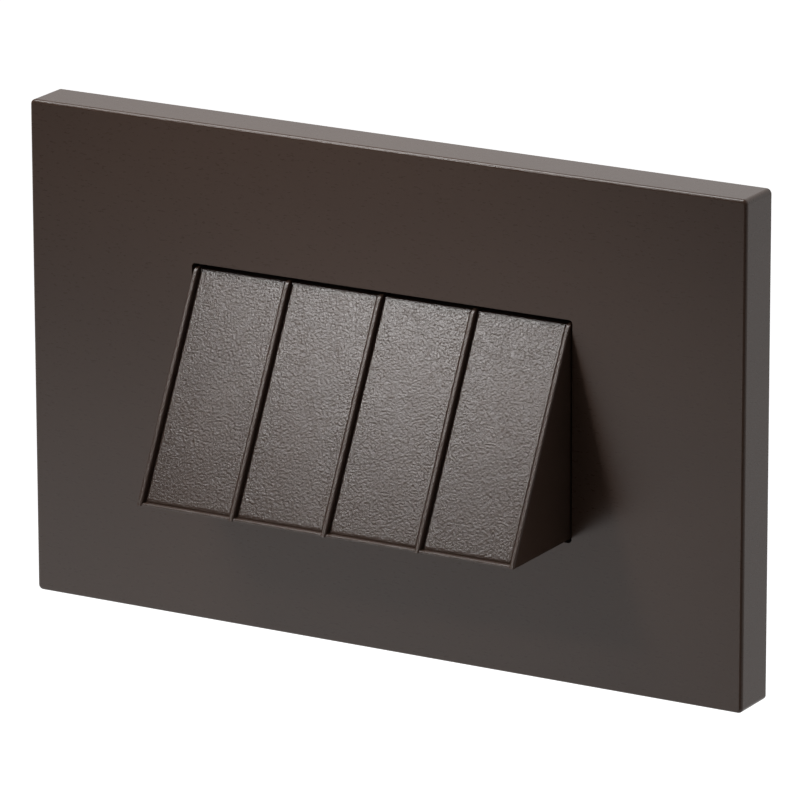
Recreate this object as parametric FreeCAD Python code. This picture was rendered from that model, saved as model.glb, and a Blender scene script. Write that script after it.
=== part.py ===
"""Hooded LED step light for a single-gang wall box, in millimetres.

X runs to the right along the wall, Y runs into the wall and Z runs up. The wall's surface is the
plane Y = 0 and the origin is the middle of the wall box. The front of the light faces -Y.
"""
import FreeCAD, Part
import math
import os

Vec = FreeCAD.Vector

# ---- driving dimensions -------------------------------------------------------------------------

# Cover plate
PLATE_W, PLATE_H = 124.0, 79.0
PLATE_SKIN = 2.2            # thickness of the plate's front
PLATE_SIDE = 2.0            # thickness of the plate's rim
PLATE_CORNER_R = 0.8
PLATE_EDGE_R = 0.5          # soft edge round the front
APERTURE_CORNER_R = 0.6
RIM_TO_WALL = 0.2           # the rim stops this far off the wall
PLATE_TO_FLANGE = 0.6       # air between the hood's flange and the plate

# Hood
HOOD_W = 65.5
HOOD_H = 33.45              # bottom edge to the tops of the ribs
HOOD_REACH = 17.3           # how far the bottom edge stands out of the plate
HOOD_LEAN = 27.3            # slope of the ribs from vertical, in degrees
HOOD_WALL = 1.6
RIB_COUNT = 5
RIB_W = 0.79
RIB_PROUD = 0.9             # rib height above the cast panels
RIB_TOP_STEP = 0.42         # rib height above the hood's top
RIB_EDGE_R = 0.23
RIB_TOP_R = 1.6             # round where a rib's slope turns into its top
LIP_H, LIP_PROUD = 0.35, 0.75   # lip along the bottom of the panels
LIP_EDGE_R = 0.1
GAP_SIDE, GAP_TOP, GAP_BOTTOM = 0.35, 0.6, 0.65    # aperture clearance round the hood
FLANGE_T = 2.0
FLANGE_PAST_X, FLANGE_PAST_Z = 4.1, 5.4    # flange beyond the aperture
FLANGE_CORNER_R = 2.0
HOOD_SCREW_IN_X, HOOD_SCREW_IN_Z = 9.5, 3.1    # hood screws, in from the flange's edges

# Lens, its gasket and the reflector
LEDGE_T = 1.2               # floor of the hood round the light's way out
LEDGE_IN = 1.6              # how far the floor reaches in from the side walls
LENS_T = 2.0
LENS_GASKET_T = 0.8
EXIT_BACK = 1.0             # light's way out starts this far in front of the plate
LENS_CLEAR = 0.2
REFLECTOR_T = 0.6
REFLECTOR_CLEAR = 0.15

# Mounting frame and gaskets
FRAME_AIR, FRAME_T = 1.5, 1.2    # frame to the plate's rim, and its thickness
FRAME_CORNER_R = 3.0
WALL_GASKET_T = 1.5
WALL_GASKET_PAST = 0.5      # gasket beyond the frame's edge
HOOD_GASKET_T = 0.5
GASKET_WINDOW_CLEAR = 0.5
WINDOW_SEAT_X, WINDOW_SEAT_Z = 5.0, 8.0    # frame overlap on the heat spreader

# Wall box screws
BOX_SCREW_SPACING = 83.3
BOX_SCREW_R = 1.75
BOX_NECK_R = 1.5            # undercut neck from the head to the wall's surface
BOX_SCREW_LEN = 25.4
BOX_HEAD_R, BOX_HEAD_H = 3.4, 2.0
BOX_HEAD_LIFT = 0.05        # turning clearance under the head
SLOT_CLEAR = 0.25
SLOT_TRAVEL = 2.6           # length of the slot beyond its width
WASHER_R, WASHER_T = 3.6, 0.8
WASHER_BEHIND = 0.3         # gap between the frame and the retaining washer
WASHER_HOLE_CLEAR = 0.6

# Latch springs
SPRING_T, SPRING_W = 0.4, 6.0
SPRING_Z = 22.0
SPRING_FOOT = 7.0
SPRING_EDGE_IN, SPRING_RISE = 1.0, 2.0    # foot's end to the frame's edge, and its step
SPRING_BEND, SPRING_CREST = 0.4, 0.5
RIVET_IN = 1.0              # rivet, in from the middle of the spring's foot
SPRING_NOSE_TO_RIM = 0.2
RIDGE_PROUD, RIDGE_T, RIDGE_LEN = 0.6, 0.8, 10.0
RIDGE_BEHIND_NOSE = 0.2
RIVET_R, RIVET_HEAD_R, RIVET_HEAD_H = 0.8, 1.4, 0.6
RIVET_PITCH = 3.0

# Light engine
SPREADER_IN_X, SPREADER_IN_Z = 2.5, 0.5    # heat spreader, in from the flange's edges
SPREADER_T = 3.0
SPREADER_CORNER_R = 2.0
PAD_T = 0.3
LED_BOARD_IN = 4.75         # LED board's ends, in from the hood's sides
LED_BOARD_H, LED_BOARD_T = 12.0, 1.6
LED_BOARD_FROM_WINDOW_TOP = 1.0
LED_COUNT = 6
LED_ROW_IN = 8.0            # middles of the end LEDs, in from the board's ends
LED_W, LED_H, LED_T = 3.5, 2.8, 0.8
LED_SCREW_FROM_END = 2.5
GROMMET_X, GROMMET_Z = 18.0, -5.0
GROMMET_BORE_R, GROMMET_NECK_R, GROMMET_RIM_R = 1.7, 2.4, 3.2
GROMMET_RIM_T = 0.6
LEAD_R = 0.5
LEAD_SPREAD = 0.65          # each lead's distance from the pair's middle
LEAD_BEND_R = 2.8
GROUND_LUG_T, GROUND_LUG_R = 0.5, 2.6
LUG_BARREL_LEN, LUG_TONGUE_W = 3.4, 1.8
GROUND_X, GROUND_Z = 29.5, 1.0

# Driver housing
SEAL_T = 0.6
HOUSING_DEPTH = 24.9
HOUSING_WALL = 1.8
HOUSING_CORNER_R = 3.0
BOSS_R, BOSS_LEN = 3.2, 11.0
THREAD_CLEAR = 0.05
HOUSING_AIR = 2.2           # driver board to the housing's walls
DRIVER_BOARD_T = 1.6
STANDOFF_H, STANDOFF_R = 2.0, 2.6
BOARD_SCREW_IN = 3.5
PART_CLEAR = 0.1            # small parts to what they sit beside

# Fasteners: shank radius, head radius, head height
SCREW_HOOD_R, SCREW_HOOD_HEAD_R, SCREW_HOOD_LEN = 1.25, 2.35, 14.0
SCREW_SMALL_R, SCREW_SMALL_HEAD_R, SCREW_SMALL_HEAD_H = 1.0, 1.9, 1.3
SCREW_BOARD_R, SCREW_BOARD_HEAD_R, SCREW_BOARD_HEAD_H = 1.25, 2.3, 1.6
SCREW_CLEAR = 0.15

# Driver parts on their board: place, then size
BULK_CAN_X, BULK_CAN_Z, BULK_CAN_R, BULK_CAN_TALL = -7.0, 11.0, 5.0, 15.0
OUTPUT_CAN_X, OUTPUT_CAN_Z, OUTPUT_CAN_R, OUTPUT_CAN_TALL = 22.0, -10.0, 3.8, 11.5
FUSE_X, FUSE_Z, FUSE_R, FUSE_TALL = -21.0, -12.5, 3.6, 8.0
CAN_EDGE_R = 0.6
FILM_X, FILM_Z, FILM_HALF_W, FILM_HALF_T, FILM_TALL, FILM_EDGE_R = -21.0, 8.0, 6.5, 3.0, 11.0, 0.6
BRIDGE_X, BRIDGE_Z, BRIDGE_HALF_W, BRIDGE_HALF_T, BRIDGE_TALL = -14.0, 0.0, 4.2, 3.2, 2.6
CHIP_X, CHIP_Z, CHIP_HALF_W, CHIP_HALF_T, CHIP_TALL, CHIP_EDGE_R = 13.0, -12.0, 3.0, 2.4, 1.6, 0.2
VARISTOR_X, VARISTOR_Z, VARISTOR_R, VARISTOR_HALF_T = -27.0, -3.0, 4.4, 1.6
VARISTOR_FOOT_TALL, VARISTOR_FOOT_HALF_W = 1.6, 2.0
CHOKE_X, CHOKE_Z, CHOKE_R, CHOKE_TALL = -12.5, -12.0, 4.0, 9.0
CHOKE_RIM_T, CHOKE_WAIST_IN = 1.2, 0.6
HEADER_X, HEADER_Z, HEADER_HALF_W, HEADER_HALF_T, HEADER_TALL = 23.0, 8.0, 3.0, 2.6, 6.0
HEADER_EDGE_R = 0.4
TRANSFORMER_X, TRANSFORMER_Z = 8.0, 6.5
CORE_W, CORE_TALL, CORE_T = 16.0, 13.0, 7.0
CORE_LEG, CORE_MID_LEG, CORE_YOKE = 2.4, 4.4, 2.4
WINDING_PAST, WINDING_EDGE_R = 4.0, 2.0    # winding beyond the core, front and back
HEADER_RUN = 5.2            # first straight run of the LED leads
GROMMET_RUN = 5.5           # straight run of the LED leads into the grommet
PAD_REACH = 1.6             # how far the LED leads lie on their pads
GROUND_RUN = 4.0            # first straight run of the ground lead

# Terminal block
POLE_COUNT, POLE_PITCH = 3, 5.8
LEVER_W = 4.4
LEVER_SIDE_GAP = 0.1
TERMINAL_H, TERMINAL_LEN = 8.3, 18.0
TERMINAL_TOP_Z = 0.0
TERMINAL_END_WALL = 1.0
PORT_R, PORT_DEPTH, PORT_UP = 1.7, 9.0, 2.7    # wire port, and its axis above the housing
CONTACT_LEN, CONTACT_W, CONTACT_WALL = 2.9, 3.4, 0.5
CONTACT_PIN_R = 0.5
CONTACT_PIN_PAST = 0.4      # pin beyond the driver board's face
HUB_R = 2.0
HUB_CLEAR = 0.3
LEVER_T = 1.9
LEVER_BELOW_TOP = 0.2
LEVER_SHORT = 0.4           # the lever's tip stops this far inside the port face
PIVOT_R, PIVOT_LEN, PIVOT_CLEAR = 0.7, 0.5, 0.06
EAR_W, EAR_T, EAR_LEN = 5.3, 2.0, 6.4

# ---- places that follow from the sizes ----------------------------------------------------------

frame_back_y = -WALL_GASKET_T
frame_front_y = frame_back_y - FRAME_T
flange_back_y = frame_front_y - HOOD_GASKET_T
flange_front_y = flange_back_y - FLANGE_T
plate_inner_y = flange_front_y - PLATE_TO_FLANGE
plate_front_y = plate_inner_y - PLATE_SKIN

frame_w = PLATE_W - 2 * (PLATE_SIDE + FRAME_AIR)
frame_h = PLATE_H - 2 * (PLATE_SIDE + FRAME_AIR)
aperture_w = HOOD_W + 2 * GAP_SIDE
aperture_h = HOOD_H + GAP_TOP + GAP_BOTTOM
hood_bottom_z = -aperture_h / 2 + GAP_BOTTOM
rib_top_z = aperture_h / 2 - GAP_TOP
hood_top_z = rib_top_z - RIB_TOP_STEP
hood_front_y = plate_front_y - HOOD_REACH
slope = math.tan(math.radians(HOOD_LEAN))
lean_cos = math.cos(math.radians(HOOD_LEAN))

flange_x = aperture_w / 2 + FLANGE_PAST_X
flange_z = aperture_h / 2 + FLANGE_PAST_Z
hood_screw_x = flange_x - HOOD_SCREW_IN_X
hood_screw_z = flange_z - HOOD_SCREW_IN_Z
cavity_x = HOOD_W / 2 - HOOD_WALL
cavity_top_z = hood_top_z - HOOD_WALL
ledge_top_z = hood_bottom_z + LEDGE_T
lens_bottom_z = ledge_top_z + LENS_GASKET_T
lens_top_z = lens_bottom_z + LENS_T
exit_x = cavity_x - LEDGE_IN
exit_back_y = plate_front_y - EXIT_BACK

spreader_x = flange_x - SPREADER_IN_X
spreader_z = flange_z - SPREADER_IN_Z
spreader_front_y = frame_back_y
spreader_back_y = spreader_front_y + SPREADER_T
window_x = spreader_x - WINDOW_SEAT_X
window_z = spreader_z - WINDOW_SEAT_Z
led_board_z = window_z - LED_BOARD_FROM_WINDOW_TOP - LED_BOARD_H / 2
led_board_back_y = spreader_front_y - PAD_T
led_board_front_y = led_board_back_y - LED_BOARD_T
led_board_w = HOOD_W - 2 * LED_BOARD_IN
led_pitch = (led_board_w - 2 * LED_ROW_IN) / (LED_COUNT - 1)
led_screw_x = led_board_w / 2 - LED_SCREW_FROM_END

housing_front_y = spreader_back_y + SEAL_T
housing_back_y = housing_front_y + HOUSING_DEPTH
housing_floor_y = housing_back_y - HOUSING_WALL
driver_back_y = housing_floor_y - STANDOFF_H
driver_front_y = driver_back_y - DRIVER_BOARD_T
driver_x = spreader_x - HOUSING_WALL - HOUSING_AIR
driver_z = spreader_z - HOUSING_WALL - HOUSING_AIR

terminal_back_y = housing_back_y + TERMINAL_H
port_y = housing_back_y + PORT_UP
port_face_z = TERMINAL_TOP_Z - TERMINAL_LEN
port_end_z = port_face_z + PORT_DEPTH
slot_w = LEVER_W + 2 * LEVER_SIDE_GAP
pole_wall = POLE_PITCH - slot_w
terminal_x = (POLE_COUNT * POLE_PITCH + pole_wall) / 2
lever_top_y = terminal_back_y - LEVER_BELOW_TOP
pivot_y = lever_top_y - HUB_R
pivot_z = TERMINAL_TOP_Z - TERMINAL_END_WALL - HUB_CLEAR - HUB_R
contact_mid_z = port_end_z + PART_CLEAR + CONTACT_LEN / 2
ear_x = terminal_x + EAR_W / 2
ear_z = port_face_z + TERMINAL_LEN / 2


def rib_y(z):
    """The ribs' outer plane at a height."""
    return hood_front_y + (z - hood_bottom_z) * slope


def slope_y(z, depth):
    """A plane this deep under the ribs' outer plane, measured square to it."""
    return rib_y(z) + depth / lean_cos


# ---- small shapes -------------------------------------------------------------------------------

def box(x0, x1, y0, y1, z0, z1):
    return Part.makeBox(x1 - x0, y1 - y0, z1 - z0, Vec(x0, y0, z0))


def slab(half_x, half_z, y0, y1, corner_r=0.0, mid_x=0.0, mid_z=0.0):
    """A plate parallel to the wall, with its four corners rounded."""
    shape = box(mid_x - half_x, mid_x + half_x, y0, y1, mid_z - half_z, mid_z + half_z)
    if corner_r > 0:
        corners = [e for e in shape.Edges if abs(e.tangentAt(e.FirstParameter).y) > 0.99]
        shape = shape.makeFillet(corner_r, corners)
    return shape


def rod_y(x, z, r, y0, y1):
    return Part.makeCylinder(r, y1 - y0, Vec(x, y0, z), Vec(0, 1, 0))


def rod_x(y, z, r, x0, x1):
    return Part.makeCylinder(r, x1 - x0, Vec(x0, y, z), Vec(1, 0, 0))


def rod_z(x, y, r, z0, z1):
    return Part.makeCylinder(r, z1 - z0, Vec(x, y, z0), Vec(0, 0, 1))


def prism_x(points, x0, x1):
    """An outline of (y, z) points, extruded along X."""
    wire = Part.makePolygon([Vec(x0, y, z) for y, z in points + points[:1]])
    return Part.Face(wire).extrude(Vec(x1 - x0, 0, 0))


def join(shapes):
    shape = shapes[0]
    if len(shapes) > 1:
        shape = shape.multiFuse(shapes[1:])
    return shape.removeSplitter()


def corners(x, z):
    return [(sx * x, sz * z) for sx in (-1, 1) for sz in (-1, 1)]


def cross_recess(x, z, face_y, into, r, depth):
    """A cross cut into a screw head; into is +1 when the screw points along +Y."""
    y0, y1 = sorted((face_y, face_y + into * depth))
    arm, half = 0.62 * r, 0.13 * r
    return join([box(x - arm, x + arm, y0, y1, z - half, z + half),
                 box(x - half, x + half, y0, y1, z - arm, z + arm)])


def pan_screw(x, z, seat_y, into, shank_r, head_r, head_h, length):
    """A pan-head screw whose head sits on seat_y and whose shank points along into * Y."""
    face_y = seat_y - into * head_h
    tip_y = seat_y + into * length
    head = rod_y(x, z, head_r, *sorted((face_y, seat_y)))
    rim = [e for e in head.Edges if abs(e.CenterOfMass.y - face_y) < 1e-6]
    head = head.makeFillet(0.35 * head_h, rim)
    shank = rod_y(x, z, shank_r, *sorted((seat_y, tip_y)))
    tip = [e for e in shank.Edges if abs(e.CenterOfMass.y - tip_y) < 1e-6 and e.Length > shank_r * 4]
    shank = shank.makeChamfer(0.3 * shank_r, tip)
    return join([head, shank]).cut(cross_recess(x, z, face_y, into, head_r, 0.55 * head_h))


def lead(points, r, bend_r):
    """A round lead along straight runs joined by tangent arcs."""
    points = [Vec(*p) for p in points]
    edges = []
    start = points[0]
    for before, corner, after in zip(points, points[1:], points[2:]):
        way_in = (corner - before).normalize()
        way_out = (after - corner).normalize()
        half_turn = way_in.getAngle(way_out) / 2
        back = bend_r * math.tan(half_turn)
        arc_start = corner - way_in * back
        arc_end = corner + way_out * back
        inward = (way_out - way_in).normalize()
        middle = corner + inward * (bend_r / math.cos(half_turn) - bend_r)
        edges += [Part.LineSegment(start, arc_start).toShape(),
                  Part.Arc(arc_start, middle, arc_end).toShape()]
        start = arc_end
    edges.append(Part.LineSegment(start, points[-1]).toShape())
    ring = Part.Wire(Part.Circle(points[0], points[1] - points[0], r).toShape())
    return Part.Wire(edges).makePipeShell([ring], True, False)


# ---- cover plate --------------------------------------------------------------------------------

def cover_plate():
    """The clip-on plate: a shallow tray with an aperture for the hood and four latch ridges."""
    plate = slab(PLATE_W / 2, PLATE_H / 2, plate_front_y, -RIM_TO_WALL, PLATE_CORNER_R)
    rim = [e for e in plate.Edges if e.BoundBox.YMax < plate_front_y + 1e-6]
    plate = plate.makeFillet(PLATE_EDGE_R, rim)
    inside_x, inside_z = PLATE_W / 2 - PLATE_SIDE, PLATE_H / 2 - PLATE_SIDE
    plate = plate.cut(slab(inside_x, inside_z, plate_inner_y, 0, PLATE_CORNER_R))
    plate = plate.cut(slab(aperture_w / 2, aperture_h / 2, plate_front_y - 1, plate_inner_y + 1,
                           APERTURE_CORNER_R))
    ridge_y = spring_nose_y() + SPRING_T / 2 + RIDGE_BEHIND_NOSE
    ridges = []
    for side in (-1, 1):
        for z in (-SPRING_Z, SPRING_Z):
            x0, x1 = sorted((side * (inside_x - RIDGE_PROUD), side * (inside_x + PLATE_SIDE / 2)))
            ridges.append(box(x0, x1, ridge_y, ridge_y + RIDGE_T, z - RIDGE_LEN / 2, z + RIDGE_LEN / 2))
    return join([plate] + ridges)


def spring_nose_y():
    """The nose of a latch spring, halfway between its foot and the ridge that it holds."""
    return frame_front_y - SPRING_T / 2 - RIDGE_T / 2


def latch_spring(side, mid_z):
    """A bent strip riveted to the frame; its nose catches the ridge inside the plate's rim."""
    nose_x = PLATE_W / 2 - PLATE_SIDE - SPRING_NOSE_TO_RIM - SPRING_T / 2
    foot_y = frame_front_y - SPRING_T / 2
    foot_x1 = frame_w / 2 - SPRING_EDGE_IN
    crest_y = foot_y - SPRING_RISE
    route = [(foot_x1 - SPRING_FOOT, foot_y), (foot_x1 - SPRING_BEND, foot_y), (foot_x1, crest_y),
             (foot_x1 + SPRING_CREST, crest_y), (nose_x, spring_nose_y())]
    pieces = []
    for (xa, ya), (xb, yb) in zip(route, route[1:]):
        length = math.hypot(xb - xa, yb - ya)
        nx, ny = -(yb - ya) / length * SPRING_T / 2, (xb - xa) / length * SPRING_T / 2
        outline = [(xa + nx, ya + ny), (xb + nx, yb + ny), (xb - nx, yb - ny), (xa - nx, ya - ny)]
        points = [Vec(side * x, y, mid_z - SPRING_W / 2) for x, y in outline + outline[:1]]
        pieces.append(Part.Face(Part.makePolygon(points)).extrude(Vec(0, 0, SPRING_W)))
    for x, y in route[1:]:
        pieces.append(rod_z(side * x, y, SPRING_T / 2, mid_z - SPRING_W / 2, mid_z + SPRING_W / 2))
    strip = join(pieces)
    for x, z in rivet_places(side, mid_z):
        strip = strip.cut(rod_y(x, z, RIVET_R, foot_y - 1, foot_y + 1))
    return strip


def rivet_places(side, mid_z):
    x = side * (frame_w / 2 - SPRING_EDGE_IN - SPRING_FOOT / 2 - RIVET_IN)
    return [(x, mid_z - RIVET_PITCH / 2), (x, mid_z + RIVET_PITCH / 2)]


def spring_places():
    return [(side, z) for side in (-1, 1) for z in (-SPRING_Z, SPRING_Z)]


def latch_springs():
    return Part.makeCompound([latch_spring(side, z) for side, z in spring_places()])


def latch_rivets():
    rivets = []
    head_y = frame_front_y - SPRING_T
    for side, mid_z in spring_places():
        for x, z in rivet_places(side, mid_z):
            head = rod_y(x, z, RIVET_HEAD_R, head_y - RIVET_HEAD_H, head_y)
            rim = [e for e in head.Edges if abs(e.CenterOfMass.y - head_y + RIVET_HEAD_H) < 1e-6]
            head = head.makeFillet(0.5 * RIVET_HEAD_H, rim)
            rivets.append(join([head, rod_y(x, z, RIVET_R, head_y, frame_back_y)]))
    return Part.makeCompound(rivets)


# ---- hood, lens and reflector -------------------------------------------------------------------

def hood():
    """The cast hood: a wedge with ribs and a lip over four recessed panels, on a flange."""
    half = HOOD_W / 2
    back = flange_back_y
    body = prism_x([(back, hood_top_z), (slope_y(hood_top_z, RIB_PROUD), hood_top_z),
                    (slope_y(hood_bottom_z, RIB_PROUD), hood_bottom_z), (back, hood_bottom_z)],
                   -half, half)
    lip_z = hood_bottom_z + LIP_H
    lip_depth = RIB_PROUD - LIP_PROUD
    lip = prism_x([(back, lip_z), (slope_y(lip_z, lip_depth), lip_z),
                   (slope_y(hood_bottom_z, lip_depth), hood_bottom_z), (back, hood_bottom_z)],
                  -half, half)
    front = [e for e in lip.Edges if abs(e.tangentAt(e.FirstParameter).x) > 0.99
             and e.CenterOfMass.y < slope_y(lip_z, lip_depth) + LIP_EDGE_R]
    lip = lip.makeFillet(LIP_EDGE_R, front)
    pitch = (HOOD_W - RIB_W) / (RIB_COUNT - 1)
    ribs = []
    for i in range(RIB_COUNT):
        x0 = -half + i * pitch
        rib = prism_x([(back, rib_top_z), (rib_y(rib_top_z), rib_top_z),
                       (hood_front_y, hood_bottom_z), (back, hood_bottom_z)], x0, x0 + RIB_W)
        nose = [e for e in rib.Edges if abs(e.tangentAt(e.FirstParameter).x) > 0.99
                and abs(e.CenterOfMass.y - rib_y(rib_top_z)) + abs(e.CenterOfMass.z - rib_top_z) < 0.01]
        rib = rib.makeFillet(RIB_TOP_R, nose)
        long_edges = [e for e in rib.Edges
                      if abs(e.tangentAt(e.FirstParameter).x) < 0.01
                      and e.CenterOfMass.y < rib_y(e.CenterOfMass.z) + 0.01
                      and e.Length > HOOD_H / 2]
        ribs.append(rib.makeFillet(RIB_EDGE_R, long_edges))
    flange = slab(flange_x, flange_z, flange_front_y, flange_back_y, FLANGE_CORNER_R)
    shape = join([body, lip, flange] + ribs)
    inner = RIB_PROUD + HOOD_WALL
    shape = shape.cut(prism_x([(back + 1, cavity_top_z), (slope_y(cavity_top_z, inner), cavity_top_z),
                               (slope_y(ledge_top_z, inner), ledge_top_z), (back + 1, ledge_top_z)],
                              -cavity_x, cavity_x))
    shape = shape.cut(box(-exit_x, exit_x, exit_front_y(), exit_back_y,
                          hood_bottom_z - 1, ledge_top_z + 1))
    for x, z in corners(hood_screw_x, hood_screw_z):
        shape = shape.cut(rod_y(x, z, SCREW_HOOD_R + SCREW_CLEAR, flange_front_y - 1, back + 1))
        shape = shape.cut(countersink(x, z, SCREW_HOOD_HEAD_R + PART_CLEAR,
                                      SCREW_HOOD_R + SCREW_CLEAR))
    return shape.removeSplitter()


def countersink(x, z, wide_r, narrow_r):
    """The cone of a countersunk head, flush with the flange's front."""
    return Part.makeCone(wide_r, narrow_r, wide_r - narrow_r, Vec(x, flange_front_y, z), Vec(0, 1, 0))


def lens_front_y(z):
    """The hood's inner slope at a height, less the lens's clearance."""
    return slope_y(z, RIB_PROUD + HOOD_WALL) + LENS_CLEAR


def lens_back_y():
    return exit_back_y + LEDGE_IN - LENS_CLEAR


def exit_front_y():
    return lens_front_y(lens_bottom_z) + LEDGE_IN - LENS_CLEAR


def lens():
    """The frosted lens, with its front edge cut to the hood's slope."""
    half = cavity_x - LENS_CLEAR
    return prism_x([(lens_back_y(), lens_bottom_z), (lens_back_y(), lens_top_z),
                    (lens_front_y(lens_top_z), lens_top_z),
                    (lens_front_y(lens_bottom_z), lens_bottom_z)], -half, half)


def lens_gasket():
    half = cavity_x - LENS_CLEAR
    ring = box(-half, half, lens_front_y(lens_bottom_z), lens_back_y(), ledge_top_z, lens_bottom_z)
    return ring.cut(box(-exit_x, exit_x, exit_front_y(), exit_back_y, ledge_top_z - 1, lens_top_z))


def reflector():
    """White liner of the hood's slope, top and cheeks; it keeps the lens on its gasket."""
    def liner(inset, bottom_z, back_y):
        depth = RIB_PROUD + HOOD_WALL + REFLECTOR_CLEAR + inset
        top_z = cavity_top_z - REFLECTOR_CLEAR - inset
        half = cavity_x - REFLECTOR_CLEAR - inset
        return prism_x([(back_y, top_z), (slope_y(top_z, depth), top_z),
                        (slope_y(bottom_z, depth), bottom_z), (back_y, bottom_z)], -half, half)
    outer = liner(0.0, lens_top_z, flange_back_y)
    return outer.cut(liner(REFLECTOR_T, lens_top_z - 1, flange_back_y + 1))


def hood_gasket():
    ring = slab(flange_x, flange_z, flange_back_y, frame_front_y, FLANGE_CORNER_R)
    ring = ring.cut(box(-cavity_x, cavity_x, flange_back_y - 1, frame_front_y + 1,
                        ledge_top_z, cavity_top_z))
    for x, z in corners(hood_screw_x, hood_screw_z):
        ring = ring.cut(rod_y(x, z, SCREW_HOOD_R + SCREW_CLEAR, flange_back_y - 1, frame_front_y + 1))
    return ring


def hood_screws():
    """Countersunk screws through the flange, frame and spreader into the housing's bosses."""
    screws = []
    for x, z in corners(hood_screw_x, hood_screw_z):
        head = countersink(x, z, SCREW_HOOD_HEAD_R, SCREW_HOOD_R)
        shank = rod_y(x, z, SCREW_HOOD_R, flange_front_y, flange_front_y + SCREW_HOOD_LEN)
        recess = cross_recess(x, z, flange_front_y, 1, SCREW_HOOD_HEAD_R, 0.7)
        screws.append(join([head, shank]).cut(recess))
    return Part.makeCompound(screws)


# ---- mounting frame and wall gasket -------------------------------------------------------------

def screw_slot(side):
    half_w = BOX_SCREW_R + SLOT_CLEAR
    x0 = side * BOX_SCREW_SPACING / 2
    y0, y1 = frame_back_y - FRAME_T - 1, frame_back_y + 1
    ends = [rod_y(x0 + step * SLOT_TRAVEL / 2, 0, half_w, y0, y1) for step in (-1, 1)]
    middle = box(x0 - SLOT_TRAVEL / 2, x0 + SLOT_TRAVEL / 2, y0, y1, -half_w, half_w)
    return join([middle] + ends)


def mounting_frame():
    """The steel frame that the wall-box screws clamp to the wall."""
    frame = slab(frame_w / 2, frame_h / 2, frame_front_y, frame_back_y, FRAME_CORNER_R)
    cuts = [slab(window_x, window_z, frame_front_y - 1, frame_back_y + 1, 1.0),
            screw_slot(-1), screw_slot(1)]
    for x, z in corners(hood_screw_x, hood_screw_z):
        cuts.append(rod_y(x, z, SCREW_HOOD_R + SCREW_CLEAR, frame_front_y - 1, frame_back_y + 1))
    for side, mid_z in spring_places():
        for x, z in rivet_places(side, mid_z):
            cuts.append(rod_y(x, z, RIVET_R, frame_front_y - 1, frame_back_y + 1))
    return frame.cut(cuts).removeSplitter()


def wall_gasket():
    """The foam gasket between the frame and the wall, open for the box."""
    gasket = slab(frame_w / 2 + WALL_GASKET_PAST, frame_h / 2 + WALL_GASKET_PAST,
                  -WALL_GASKET_T, 0, FRAME_CORNER_R)
    cuts = [slab(spreader_x + GASKET_WINDOW_CLEAR, spreader_z + GASKET_WINDOW_CLEAR,
                 -WALL_GASKET_T - 1, 1, SPREADER_CORNER_R)]
    for side in (-1, 1):
        cuts.append(rod_y(side * BOX_SCREW_SPACING / 2, 0, WASHER_R + WASHER_HOLE_CLEAR,
                          -WALL_GASKET_T - 1, 1))
    return gasket.cut(cuts)


def box_screw(side):
    """A wall-box screw: its neck runs in the frame and its thread starts at the wall's surface."""
    x = side * BOX_SCREW_SPACING / 2
    seat_y = frame_front_y - BOX_HEAD_LIFT
    neck = pan_screw(x, 0, seat_y, 1, BOX_NECK_R, BOX_HEAD_R, BOX_HEAD_H, 1 - seat_y)
    tip_y = seat_y + BOX_SCREW_LEN
    thread = rod_y(x, 0, BOX_SCREW_R, 0, tip_y)
    tip = [e for e in thread.Edges if abs(e.CenterOfMass.y - tip_y) < 1e-6 and e.Length > 4]
    return join([neck, thread.makeChamfer(0.3 * BOX_SCREW_R, tip)])


def screw_washer(side):
    """The fibre washer that keeps a box screw in its slot."""
    x = side * BOX_SCREW_SPACING / 2
    y0 = frame_back_y + WASHER_BEHIND
    ring = rod_y(x, 0, WASHER_R, y0, y0 + WASHER_T)
    return ring.cut(rod_y(x, 0, BOX_NECK_R, y0 - 1, y0 + WASHER_T + 1))


# ---- light engine -------------------------------------------------------------------------------

def heat_spreader():
    """The aluminium plate that carries the LED board and closes the driver housing."""
    plate = slab(spreader_x, spreader_z, spreader_front_y, spreader_back_y, SPREADER_CORNER_R)
    cuts = [rod_y(GROMMET_X, GROMMET_Z, GROMMET_NECK_R, spreader_front_y - 1, spreader_back_y + 1),
            rod_y(GROUND_X, GROUND_Z, SCREW_BOARD_R + THREAD_CLEAR,
                  spreader_back_y - ground_thread(), spreader_back_y + 1)]
    for x, z in corners(hood_screw_x, hood_screw_z):
        cuts.append(rod_y(x, z, SCREW_HOOD_R + SCREW_CLEAR, spreader_front_y - 1, spreader_back_y + 1))
    for side in (-1, 1):
        cuts.append(rod_y(side * led_screw_x, led_board_z, SCREW_SMALL_R + THREAD_CLEAR,
                          spreader_front_y - 1, spreader_front_y + led_thread()))
    return plate.cut(cuts)


def led_thread():
    """How deep the LED board's screws go into the spreader."""
    return 0.7 * SPREADER_T


def ground_thread():
    return 0.8 * SPREADER_T


def led_board_holes(y0, y1):
    return [rod_y(side * led_screw_x, led_board_z, SCREW_SMALL_R + SCREW_CLEAR, y0, y1)
            for side in (-1, 1)]


def thermal_pad():
    pad = slab(led_board_w / 2, LED_BOARD_H / 2, led_board_back_y, spreader_front_y,
               mid_z=led_board_z)
    return pad.cut(led_board_holes(led_board_back_y - 1, spreader_front_y + 1))


def led_board():
    board = slab(led_board_w / 2, LED_BOARD_H / 2, led_board_front_y, led_board_back_y, 0.8,
                 mid_z=led_board_z)
    return board.cut(led_board_holes(led_board_front_y - 1, led_board_back_y + 1))


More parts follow.
